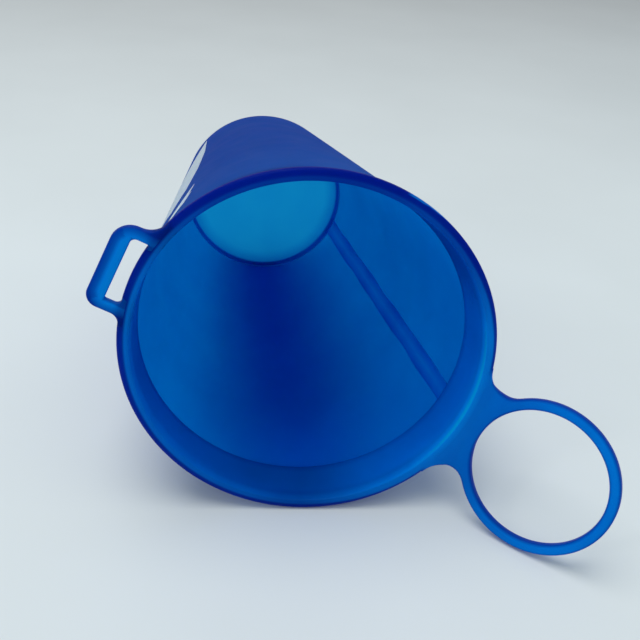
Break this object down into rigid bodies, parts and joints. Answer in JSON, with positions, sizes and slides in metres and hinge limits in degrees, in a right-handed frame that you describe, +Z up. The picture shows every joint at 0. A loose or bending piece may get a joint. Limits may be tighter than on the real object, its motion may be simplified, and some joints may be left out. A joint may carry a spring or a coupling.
{
  "type": "soft foldable drinking cup",
  "caption": "Soft translucent blue film cup with a moulded oval rim, a finger ring and a strap slot, stored lying on its side.",
  "frame": {"origin": "ground point under the centre of the cup's bounding box as it lies on its side", "axes": "+Z up; the mouth faces -Y, raised 9.4 degrees; the finger ring is on the +X side, bent towards the mouth side, and touches the ground"},
  "size_m": [0.097, 0.1232, 0.0687],
  "materials": {
    "rim_moulding": "smooth translucent blue moulded thermoplastic polyurethane",
    "wall_film": "matte translucent blue thermoplastic polyurethane film",
    "base_film": "smooth clear blue thermoplastic polyurethane film"
  },
  "bodies": {
    "cup_body": {"rim_ring": "rim_moulding", "wall_film": "wall_film"},
    "base": {"base_disc": "base_film"},
    "finger_ring": {"finger_loop": "rim_moulding"},
    "strap_bracket": {"strap_loop": "rim_moulding"}
  },
  "joints": [
    {"name": "base_collapse", "type": "slide", "parent": "cup_body", "child": "base", "axis": [0, -0.9864, 0.1641], "range_m": [0, 0.07], "stiffness_N_per_m": 30, "deforming": ["wall_film"]},
    {"name": "finger_loop_flex", "type": "hinge", "parent": "cup_body", "child": "finger_ring", "pos_m": [0.02486, -0.04106, 0.0185], "axis": [-0.4305, -0.1481, -0.8903], "range_deg": [-110, 45], "stiffness_Nm_per_rad": 0.05},
    {"name": "strap_loop_flex", "type": "hinge", "parent": "cup_body", "child": "strap_bracket", "pos_m": [-0.0425, -0.03578, 0.05019], "axis": [0.4305, 0.1481, 0.8903], "range_deg": [-60, 60], "stiffness_Nm_per_rad": 0.03}
  ]
}
